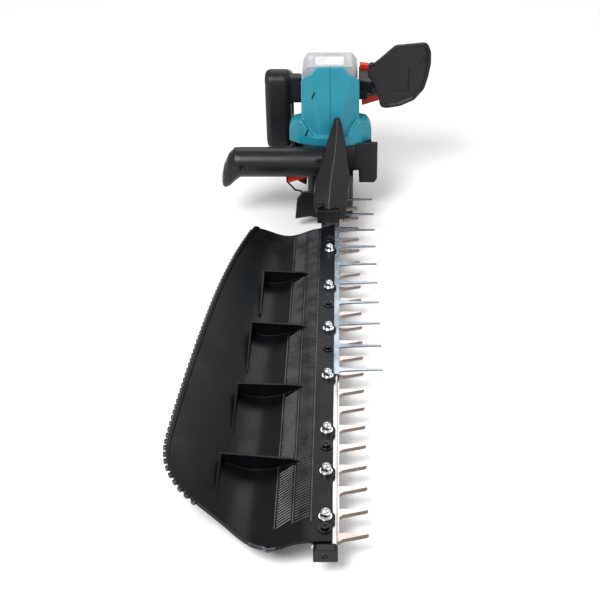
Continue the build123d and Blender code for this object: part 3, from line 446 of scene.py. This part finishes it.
def grow(name, lines, tree, keys, sizes, material, body):
    """Runs a recipe along lines of points and keeps the result as a plain mesh on a body."""
    base = bpy.data.meshes.new(name)
    points = [tuple(p) for line in lines for p in line]
    links, start = [], 0
    for line in lines:
        links += [(start + k, start + k + 1) for k in range(len(line) - 1)]
        start += len(line)
    base.from_pydata(points, links, [])
    piece = bpy.data.objects.new(name, base)
    bpy.context.scene.collection.objects.link(piece)
    modifier = piece.modifiers.new("recipe", "NODES")
    modifier.node_group = tree
    for label, value in sizes.items():
        modifier[keys[label]] = value
    modifier[keys["Finish"]] = material
    depsgraph = bpy.context.evaluated_depsgraph_get()
    finished = bpy.data.meshes.new_from_object(piece.evaluated_get(depsgraph))
    piece.modifiers.clear()
    piece.data = finished
    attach(piece, body)
    return piece


# Pips set along a line: small pillows turned with it, at an even pitch.
pip_row, pip_keys, ends_in, ends_out = recipe(
    "pip_row", [("Pitch", number, 0.0085), ("Length", number, 0.0042), ("Depth", number, 0.004),
                ("Height", number, 0.003)])
curve = add(pip_row, "GeometryNodeMeshToCurve", {"Mesh": ends_in["Geometry"]}).outputs[0]
even = add(pip_row, "GeometryNodeResampleCurve", {"Curve": curve, "Length": ends_in["Pitch"]},
           mode="LENGTH")
size = add(pip_row, "ShaderNodeCombineXYZ", {0: ends_in["Length"], 1: ends_in["Depth"],
                                             2: ends_in["Height"]}).outputs[0]
pip = add(pip_row, "GeometryNodeMeshCube", {"Size": size}).outputs["Mesh"]
pip = add(pip_row, "GeometryNodeSubdivisionSurface",
          {"Mesh": pip, "Level": 2, "Edge Crease": 0.55}).outputs[0]
tangent = add(pip_row, "GeometryNodeInputTangent").outputs[0]
turn = add(pip_row, "FunctionNodeAlignRotationToVector", {"Vector": tangent}, axis="X",
           pivot_axis="Z").outputs[0]
row = add(pip_row, "GeometryNodeInstanceOnPoints",
          {"Points": even.outputs[0], "Instance": pip, "Rotation": turn}).outputs[0]
close_recipe(pip_row, row, ends_in, ends_out)

# A round bead laid along lines.
laid_bead, bead_keys, ends_in, ends_out = recipe("laid_bead",
                                                 [("Radius", number, 0.0005),
                                                  ("Sides", "NodeSocketInt", 8)])
curve = add(laid_bead, "GeometryNodeMeshToCurve", {"Mesh": ends_in["Geometry"]}).outputs[0]
ring = add(laid_bead, "GeometryNodeCurvePrimitiveCircle",
           {"Radius": ends_in["Radius"], "Resolution": ends_in["Sides"]}).outputs[0]
tube = add(laid_bead, "GeometryNodeCurveToMesh",
           {"Curve": curve, "Profile Curve": ring, "Fill Caps": True}).outputs[0]
close_recipe(laid_bead, tube, ends_in, ends_out)

# The rim is the tray's outline from above, on the side away from the teeth.
RIM_INSIDE_X = -0.036
RIM_REAR_Y = -0.107
PIPS_TO_Y = -0.629
BEADS_FROM_Y = -0.622
hull = [tuple(tray_points[i][:2]) for i in convex_hull_2d([tuple(p[:2]) for p in tray_points])]
rim = sorted((p for p in hull if p[0] < RIM_INSIDE_X and p[1] < RIM_REAR_Y), key=lambda p: -p[1])
rim_line = []
for x, y in rim:
    top = tray_height(x + 0.0012, y + 0.0006)
    if top is not None:
        rim_line.append(Vector((x - 0.0006, y, top - 0.0021)))
side_rim = [p for p in rim_line if p.y > PIPS_TO_Y]
tip_rim = [p for p in rim_line if p.y < BEADS_FROM_Y]
grow("tray_rim_pips", [side_rim], pip_row, pip_keys,
     {"Pitch": 0.0085, "Length": 0.0045, "Depth": 0.0046, "Height": 0.0036},
     lit_bead_gloss, "root")
grow("tray_tip_beads", [[p + Vector((0.0, 0.0, lift)) for p in tip_rim] for lift in (-0.0011, 0.0016)],
     laid_bead, bead_keys, {"Radius": 0.0009}, lit_bead_gloss, "root")

# Hatching lies on the tray's floor only, so a line is left out where it would climb a cross wall.
HATCH_STRIPS = ((-0.0405, -0.0285), (-0.0255, -0.0135))
HATCH_START_Y = -0.6335
HATCH_PITCH = 0.0033
HATCH_COUNT = 152
HATCH_SLANT = 0.0055
HATCH_POINTS = 6
FLOOR_LIMIT = 0.0325
STEEPEST_RISE = 0.0025
hatch_lines = []
for left, right in HATCH_STRIPS:
    for step in range(HATCH_COUNT):
        y = HATCH_START_Y + HATCH_PITCH * step
        spots = []
        for part in range(HATCH_POINTS):
            x = left + (right - left) * part / (HATCH_POINTS - 1)
            slant = y + HATCH_SLANT * part / (HATCH_POINTS - 1)
            top = tray_height(x, slant)
            if top is not None and top < FLOOR_LIMIT:
                spots.append((x, slant, top))
        heights = [p[2] for p in spots]
        rises = [abs(a - b) for a, b in zip(heights, heights[1:])]
        if len(spots) == HATCH_POINTS and max(rises) < STEEPEST_RISE:
            hatch_lines.append(spots)
grow("tray_hatching", hatch_lines, laid_bead, bead_keys, {"Radius": 0.0008}, lit_bead_gloss, "root")
# Each ridge is broken where it meets a cross wall; a run too short to read is dropped.
RIDGE_X = (-0.0423, -0.027, -0.0118)
RIDGE_START_Y = -0.6345
RIDGE_END_Y = -0.128
RIDGE_STEP = 0.004
RIDGE_STEPS = 130
SHORTEST_RUN = 3
ridge_lines = []
for x in RIDGE_X:
    line = []
    for step in range(RIDGE_STEPS):
        y = RIDGE_START_Y + RIDGE_STEP * step
        top = tray_height(x, y)
        if top is not None and top < FLOOR_LIMIT and y < RIDGE_END_Y:
            line.append((x, y, top - 0.0001))
        elif len(line) > SHORTEST_RUN:
            ridge_lines.append(line)
            line = []
    ridge_lines.append(line)
grow("tray_ridges", [line for line in ridge_lines if len(line) > SHORTEST_RUN], laid_bead, bead_keys,
     {"Radius": 0.0007},
     lit_bead_gloss, "root")


# ---- gear case and crank ----
# A painted casting holds the reduction gear and the double crank; a flat cover closes it from below.
# Shafts, gears, yokes and bearings are bright machined steel under a film of grease.
case_paint = moulded_plastic("case_paint", paint(26, 25, 27), paint(100, 98, 98), 0.42, grain=0.9,
                             gloss=0.35, sharp=True)
finish_nodes(["gear_housing", "base_cover"], case_paint)
machined_steel = worked_metal("machined_steel", paint(190, 190, 192), paint(140, 138, 134), 0.26,
                              (1.0, 1.0, 0.06), 900.0)
finish_nodes(["crank_shaft", "crank_gear", "crank_bearings", "upper_yoke", "lower_yoke",
              "upper_yoke_rivets",
              "lower_yoke_rivets", "rotor_shaft", "rotor_bearings", "front_lever_pin", "trigger_pin",
              "lock_off_pin"], machined_steel)


# ---- motor and controller ----
# Laminated core and ring, enamelled copper coils, a moulded fan and a potted controller inside the housing.
# The laminations show as fine rings round the core; the cells' steel cans get the same finish.
laminated_steel = worked_metal("laminated_steel", paint(150, 150, 152), paint(96, 94, 94), 0.42,
                               (0.02, 0.02, 1.0), 1400.0)
finish_nodes(["rotor_core", "stator", "battery_cells"], laminated_steel)
copper = worked_metal("enamelled_copper", paint(206, 126, 82), paint(150, 74, 40), 0.28, (0.05, 0.05, 1.0),
                      1300.0)
finish_nodes(["stator_windings"], copper)
potting = moulded_plastic("green_potting", paint(44, 96, 68), paint(90, 140, 110), 0.3, grain=0.1,
                          sharp=True)
finish_nodes(["controller"], potting)
finish_nodes(["cooling_fan", "terminal_block"], black_sharp)


# ---- motor housing ----
# Two teal clamshells screwed together on the middle plane, faceted in front and flared over the shroud.
# The plastic is satin, with a dark part line and, on the left, two black lines as painted shade for two small
# drain slots.
teal = moulded_plastic("teal_plastic", paint(32, 132, 152), paint(104, 186, 200), 0.34, grain=0.35,
                       gloss=0.35,
                       seam=((1.0, 0.0, 0.0), 0.0, 0.00045))
teal_housing = moulding("teal_housing", ["housing_left", "housing_right"], "root", teal,
                        0.0012, 5,
                        seam=(0, 0.0))
teal_skin = BVHTree.FromPolygons([tuple(v.co) for v in teal_housing.data.vertices],
                                 [tuple(f.vertices) for f in teal_housing.data.polygons])
# Each drain is a black line laid on the facet as painted shade for the slot, found by looking straight back
# at it.
DRAIN_CENTRES = ((-0.0212, 0.161), (-0.0301, 0.112))
DRAIN_LEAN = 0.0016
DRAIN_HALF_HEIGHT = 0.0042
drains = []
for x, z in DRAIN_CENTRES:
    drain = []
    for part in range(7):
        share = part / 3 - 1
        start = Vector((x + DRAIN_LEAN * share, -0.3, z + DRAIN_HALF_HEIGHT * share))
        hit = teal_skin.ray_cast(start, Vector((0.0, 1.0, 0.0)))[0]
        if hit:
            drain.append(hit + Vector((0.0, 0.0003, 0.0)))
    drains.append(drain)
# These black lines are painted shade standing in for the dark inside of the drain slots.
grow("drain_slot_shade", drains, laid_bead, bead_keys, {"Radius": 0.0012}, black_sharp, "root")


# ---- lower shroud ----
# A black skirt between gear case and housing, with a pod down each side that hides the air ducts.
moulding("skirt", ["lower_shroud"], "root", black_plastic, 0.0011, 5)


# ---- front guard ----
# A prow that parts the twigs before the front hand, with a flat wing on the left.
# It is screwed to the nose of the gear case.
moulding("prow", ["front_guard"], "root", black_plastic, 0.0009, 5)


# ---- front handle ----
# A round grip in two shells, swollen and drooping at the outer end, with a red switch bar below.
# A thin wire bow keeps twigs off the bar.
handle_plastic = moulded_plastic("handle_plastic", paint(24, 22, 25), paint(84, 80, 84), 0.36, gloss=0.32,
                                 seam=((0.0, 1.0, 0.0), -0.040, 0.0003))
moulding("front_grip", ["front_handle_front", "front_handle_rear"], "root", handle_plastic,
         0.001, 8, seam=(1, -0.040))
red_plastic = moulded_plastic("red_plastic", paint(214, 40, 28), paint(240, 110, 96), 0.3, grain=0.15,
                              gloss=0.5)
moulding("front_switch_bar", ["front_lever"], "front_lever", red_plastic, 0.0006, 5)


# ---- right handle ----
# The main grip behind a moulded hand guard, with the trigger below and the lock-off lever above.
# Guard and grip are one moulding in two shells, screwed to the housing.
grip_plastic = moulded_plastic("grip_plastic", paint(24, 22, 25), paint(84, 80, 84), 0.36, gloss=0.32,
                               seam=((0.0, 1.0, 0.0), 0.092, 0.0003))
moulding("right_grip", ["right_handle_front", "right_handle_rear"], "root", grip_plastic,
         0.0009, 6, seam=(1, 0.092))
moulding("red_trigger", ["trigger"], "trigger", red_plastic, 0.0006, 5)
moulding("red_lock_off", ["lock_off_lever"], "lock_off", red_plastic, 0.0006, 5)
switch_plastic = moulded_plastic("switch_plastic", paint(150, 150, 154), paint(190, 190, 194), 0.4,
                                 sharp=True)
finish_nodes(["front_switch", "trigger_switch"], switch_plastic)


# ---- return springs ----
# Two small coil springs of bright wire, inside the handles, push the switch bar and the trigger back down.
# Each is seated on the handle above; the real spring shortens as its lever is pressed, but here it is made at
# one length.
coil_spring, coil_keys, ends_in, ends_out = recipe(
    "coil_spring", [("Turns", number, 4.0), ("Radius", number, 0.003), ("Height", number, 0.01),
                    ("Wire", number, 0.0005)])
winding = {"Resolution": 28, "Rotations": ends_in["Turns"], "Start Radius": ends_in["Radius"],
           "End Radius": ends_in["Radius"], "Height": ends_in["Height"]}
helix = add(coil_spring, "GeometryNodeCurveSpiral", winding).outputs[0]
ring = add(coil_spring, "GeometryNodeCurvePrimitiveCircle",
           {"Radius": ends_in["Wire"], "Resolution": 8}).outputs[0]
wound = add(coil_spring, "GeometryNodeCurveToMesh",
            {"Curve": helix, "Profile Curve": ring, "Fill Caps": True}).outputs[0]
seated = add(coil_spring, "GeometryNodeInstanceOnPoints",
             {"Points": ends_in["Geometry"], "Instance": wound}).outputs[0]
close_recipe(coil_spring, seated, ends_in, ends_out)
for node, joint, turns, wire, keep in (("front_lever_spring", "front_lever_pivot", 4.0, 0.00045, 0.68),
                                       ("trigger_spring", "trigger_pivot", 3.0, 0.0004, 0.6)):
    low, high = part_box(node)
    seat = ((low[0] + high[0]) / 2, (low[1] + high[1]) / 2, low[2] + wire)
    sizes = {"Turns": turns, "Radius": (high[0] - low[0]) / 2 - wire, "Height": high[2] - low[2] - 2 * wire,
             "Wire": wire}
    spring = grow(node + "_coil", [[seat]], coil_spring, coil_keys, sizes, machined_steel, "root")
    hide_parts(node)
    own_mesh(spring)


# ---- loop handle ----
# A closed loop on the left for the other hand, in an inner and an outer half.
loop_plastic = moulded_plastic("loop_plastic", paint(22, 20, 23), paint(80, 77, 82), 0.34, gloss=0.32,
                               seam=((1.0, 0.0, 0.0), -0.070, 0.0003))
moulding("loop", ["loop_handle_inner", "loop_handle_outer"], "root", loop_plastic,
         0.0012, 10, seam=(0, -0.070))


# ---- battery ----
# A slide-on pack behind the housing, pale grey, with a blank white panel on top between two rows of ribs.
# A latch at the back lets it go.
pale_grey = moulded_plastic("pale_grey", paint(190, 190, 194), paint(226, 226, 228), 0.4, grain=0.3)
moulding("battery_pack", ["battery_case"], "battery", pale_grey, 0.0011, 5)
pack_low, pack_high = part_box("battery_case")
panel_white = moulded_plastic("panel_white", paint(238, 238, 238), paint(250, 250, 250), 0.3, grain=0.1)


def raised_panel(name, x_from, x_to, y_from, y_to, base, rise, corner, material, body):
    """A thin raised panel with rounded corners and a softened upper rim."""
    panel = bmesh.new()
    outline = []
    middle = Vector(((x_from + x_to) / 2, (y_from + y_to) / 2, 0.0))
    for x, y, turn in ((x_to, y_to, 0), (x_from, y_to, 1), (x_from, y_from, 2), (x_to, y_from, 3)):
        inner = (x - math.copysign(corner, x - middle.x), y - math.copysign(corner, y - middle.y))
        for part in range(7):
            angle = math.pi / 2 * (turn + part / 6)
            outline.append((inner[0] + corner * math.cos(angle), inner[1] + corner * math.sin(angle)))
    rings = []
    for shrink, share in ((0.0, 0.0), (0.0, 0.6), (0.0004, 0.9), (0.001, 1.0)):
        level = base + rise * share
        ring = []
        for x, y in outline:
            spot = Vector((x, y, 0.0))
            spot -= (spot - middle).normalized() * shrink
            ring.append(panel.verts.new((spot.x, spot.y, level)))
        rings.append(ring)
    for lower, upper in zip(rings, rings[1:]):
        for k in range(len(lower)):
            panel.faces.new((lower[k], lower[(k + 1) % len(lower)], upper[(k + 1) % len(lower)], upper[k]))
    panel.faces.new(rings[-1])
    panel.faces.new(list(reversed(rings[0])))
    mesh = bpy.data.meshes.new(name)
    panel.to_mesh(mesh)
    panel.free()
    mesh.materials.append(material)
    piece = bpy.data.objects.new(name, mesh)
    bpy.context.scene.collection.objects.link(piece)
    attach(piece, body)


raised_panel("battery_panel", -0.021, 0.018, pack_low[1] + 0.005, pack_low[1] + 0.036,
             pack_high[2] - 0.0012, 0.0018,
             0.003, panel_white, "battery")
RIB_COUNT = 9
RIB_PITCH = 0.0045
RIB_ENDS = ((-0.0295, -0.0245), (0.0215, 0.0275))
ribs = []
for step in range(RIB_COUNT):
    y = pack_low[1] + 0.010 + RIB_PITCH * step
    ribs += [[(x, y, pack_high[2] - 0.0002) for x in ends] for ends in RIB_ENDS]
grow("battery_ribs", ribs, laid_bead, bead_keys, {"Radius": 0.0007}, pale_grey, "battery")
moulding("battery_button", ["battery_latch"], "latch", pale_grey, 0.0007, 5)
